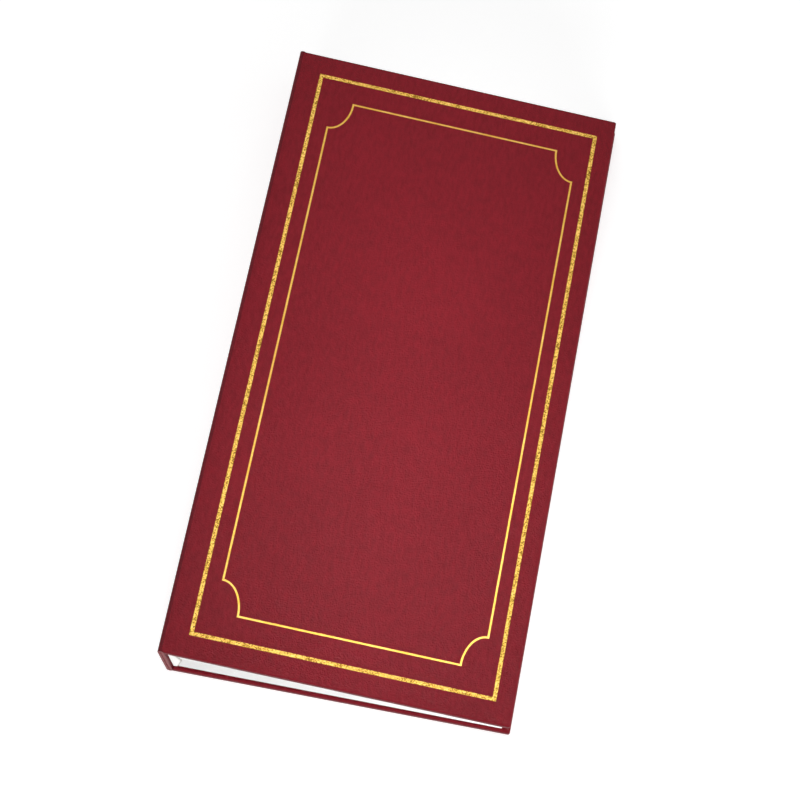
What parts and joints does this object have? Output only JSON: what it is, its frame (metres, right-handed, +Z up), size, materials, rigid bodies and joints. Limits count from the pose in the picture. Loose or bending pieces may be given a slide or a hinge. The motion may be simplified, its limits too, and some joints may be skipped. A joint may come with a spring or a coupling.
{
  "type": "stamp album",
  "caption": "Hardbound stamp album in burgundy leatherette with gilt frames; spine, covers and hinged strip-pocket leaves open together and lie flat at the middle.",
  "frame": {"origin": "on the table, under the middle of the closed album's outline", "axes": "+X from the spine to the fore-edge, +Y from the tail to the head, +Z up out of the front cover"},
  "size_m": [0.168, 0.33, 0.0282],
  "materials": {
    "leatherette": "satin burgundy grain",
    "board": "matt grey board",
    "endpaper": "matt white paper",
    "gilt_band": "mottled gilt foil",
    "gilt_line": "plain gilt foil",
    "lining_cloth": "open weave cotton",
    "stub_card": "white card",
    "linen": "white linen",
    "leaf_card": "smooth white card",
    "clear_strip": "clear film",
    "glassine": "thin glazed paper"
  },
  "bodies": {
    "back_cover": {"back_board": "board", "back_leatherette": "leatherette", "back_endpaper": "endpaper"},
    "spine": {"spine_board": "board", "spine_leatherette": "leatherette", "spine_lining": "lining_cloth", "guard_stubs": "stub_card", "linen_hinges": "linen"},
    "front_cover": {"front_board": "board", "front_leatherette": "leatherette", "front_endpaper": "endpaper", "outer_gilt_frame": "gilt_band", "inner_gilt_line": "gilt_line"},
    "leaf_01": {"leaf_01_card": "leaf_card", "leaf_01_strips": "clear_strip", "leaf_01_glassine": "glassine"},
    "leaf_02": {"leaf_02_card": "leaf_card", "leaf_02_strips": "clear_strip", "leaf_02_glassine": "glassine"},
    "leaf_03": {"leaf_03_card": "leaf_card", "leaf_03_strips": "clear_strip", "leaf_03_glassine": "glassine"},
    "leaf_04": {"leaf_04_card": "leaf_card", "leaf_04_strips": "clear_strip", "leaf_04_glassine": "glassine"},
    "leaf_05": {"leaf_05_card": "leaf_card", "leaf_05_strips": "clear_strip", "leaf_05_glassine": "glassine"},
    "leaf_06": {"leaf_06_card": "leaf_card", "leaf_06_strips": "clear_strip", "leaf_06_glassine": "glassine"},
    "leaf_07": {"leaf_07_card": "leaf_card", "leaf_07_strips": "clear_strip", "leaf_07_glassine": "glassine"},
    "leaf_08": {"leaf_08_card": "leaf_card", "leaf_08_strips": "clear_strip", "leaf_08_glassine": "glassine"},
    "leaf_09": {"leaf_09_card": "leaf_card", "leaf_09_strips": "clear_strip", "leaf_09_glassine": "glassine"},
    "leaf_10": {"leaf_10_card": "leaf_card", "leaf_10_strips": "clear_strip", "leaf_10_glassine": "glassine"},
    "leaf_11": {"leaf_11_card": "leaf_card", "leaf_11_strips": "clear_strip", "leaf_11_glassine": "glassine"},
    "leaf_12": {"leaf_12_card": "leaf_card", "leaf_12_strips": "clear_strip", "leaf_12_glassine": "glassine"}
  },
  "joints": [
    {"name": "spine_hinge", "type": "hinge", "parent": "back_cover", "child": "spine", "pos_m": [-0.0796, 0, 0.0015], "axis": [0, -1, 0], "range_deg": [0, 83.44]},
    {"name": "front_hinge", "type": "hinge", "parent": "spine", "child": "front_cover", "pos_m": [-0.0825, 0, 0.0267], "axis": [0, -1, 0], "range_deg": [0, 101.58]},
    {"name": "leaf_01_hinge", "type": "hinge", "parent": "spine", "child": "leaf_01", "pos_m": [-0.07783, 0, 0.02373], "axis": [0, -1, 0], "range_deg": [0, 102.21]},
    {"name": "leaf_02_hinge", "type": "hinge", "parent": "spine", "child": "leaf_02", "pos_m": [-0.07704, 0, 0.02212], "axis": [0, -1, 0], "range_deg": [0, 101.88]},
    {"name": "leaf_03_hinge", "type": "hinge", "parent": "spine", "child": "leaf_03", "pos_m": [-0.07625, 0, 0.02051], "axis": [0, -1, 0], "range_deg": [0, 101.53]},
    {"name": "leaf_04_hinge", "type": "hinge", "parent": "spine", "child": "leaf_04", "pos_m": [-0.07546, 0, 0.0189], "axis": [0, -1, 0], "range_deg": [0, 101.19]},
    {"name": "leaf_05_hinge", "type": "hinge", "parent": "spine", "child": "leaf_05", "pos_m": [-0.07467, 0, 0.01729], "axis": [0, -1, 0], "range_deg": [0, 100.84]},
    {"name": "leaf_06_hinge", "type": "hinge", "parent": "spine", "child": "leaf_06", "pos_m": [-0.07388, 0, 0.01567], "axis": [0, -1, 0], "range_deg": [0, 100.49]},
    {"name": "leaf_07_hinge", "type": "hinge", "parent": "spine", "child": "leaf_07", "pos_m": [-0.07369, 0, 0.01399], "axis": [0, 1, 0], "range_deg": [0, 81.5]},
    {"name": "leaf_08_hinge", "type": "hinge", "parent": "spine", "child": "leaf_08", "pos_m": [-0.07409, 0, 0.01225], "axis": [0, 1, 0], "range_deg": [0, 81.93]},
    {"name": "leaf_09_hinge", "type": "hinge", "parent": "spine", "child": "leaf_09", "pos_m": [-0.0745, 0, 0.0105], "axis": [0, 1, 0], "range_deg": [0, 82.36]},
    {"name": "leaf_10_hinge", "type": "hinge", "parent": "spine", "child": "leaf_10", "pos_m": [-0.0749, 0, 0.00875], "axis": [0, 1, 0], "range_deg": [0, 82.79]},
    {"name": "leaf_11_hinge", "type": "hinge", "parent": "spine", "child": "leaf_11", "pos_m": [-0.0753, 0, 0.007], "axis": [0, 1, 0], "range_deg": [0, 83.22]},
    {"name": "leaf_12_hinge", "type": "hinge", "parent": "spine", "child": "leaf_12", "pos_m": [-0.0757, 0, 0.00525], "axis": [0, 1, 0], "range_deg": [0, 83.64]}
  ],
  "couplings": [
    {"joint": "front_hinge", "follows": "spine_hinge", "ratio": 1.2174},
    {"joint": "leaf_01_hinge", "follows": "spine_hinge", "ratio": 1.225},
    {"joint": "leaf_02_hinge", "follows": "spine_hinge", "ratio": 1.221},
    {"joint": "leaf_03_hinge", "follows": "spine_hinge", "ratio": 1.2169},
    {"joint": "leaf_04_hinge", "follows": "spine_hinge", "ratio": 1.2127},
    {"joint": "leaf_05_hinge", "follows": "spine_hinge", "ratio": 1.2085},
    {"joint": "leaf_06_hinge", "follows": "spine_hinge", "ratio": 1.2043},
    {"joint": "leaf_07_hinge", "follows": "spine_hinge", "ratio": 0.97677},
    {"joint": "leaf_08_hinge", "follows": "spine_hinge", "ratio": 0.98195},
    {"joint": "leaf_09_hinge", "follows": "spine_hinge", "ratio": 0.98711},
    {"joint": "leaf_10_hinge", "follows": "spine_hinge", "ratio": 0.99224},
    {"joint": "leaf_11_hinge", "follows": "spine_hinge", "ratio": 0.99734},
    {"joint": "leaf_12_hinge", "follows": "spine_hinge", "ratio": 1.0024}
  ]
}
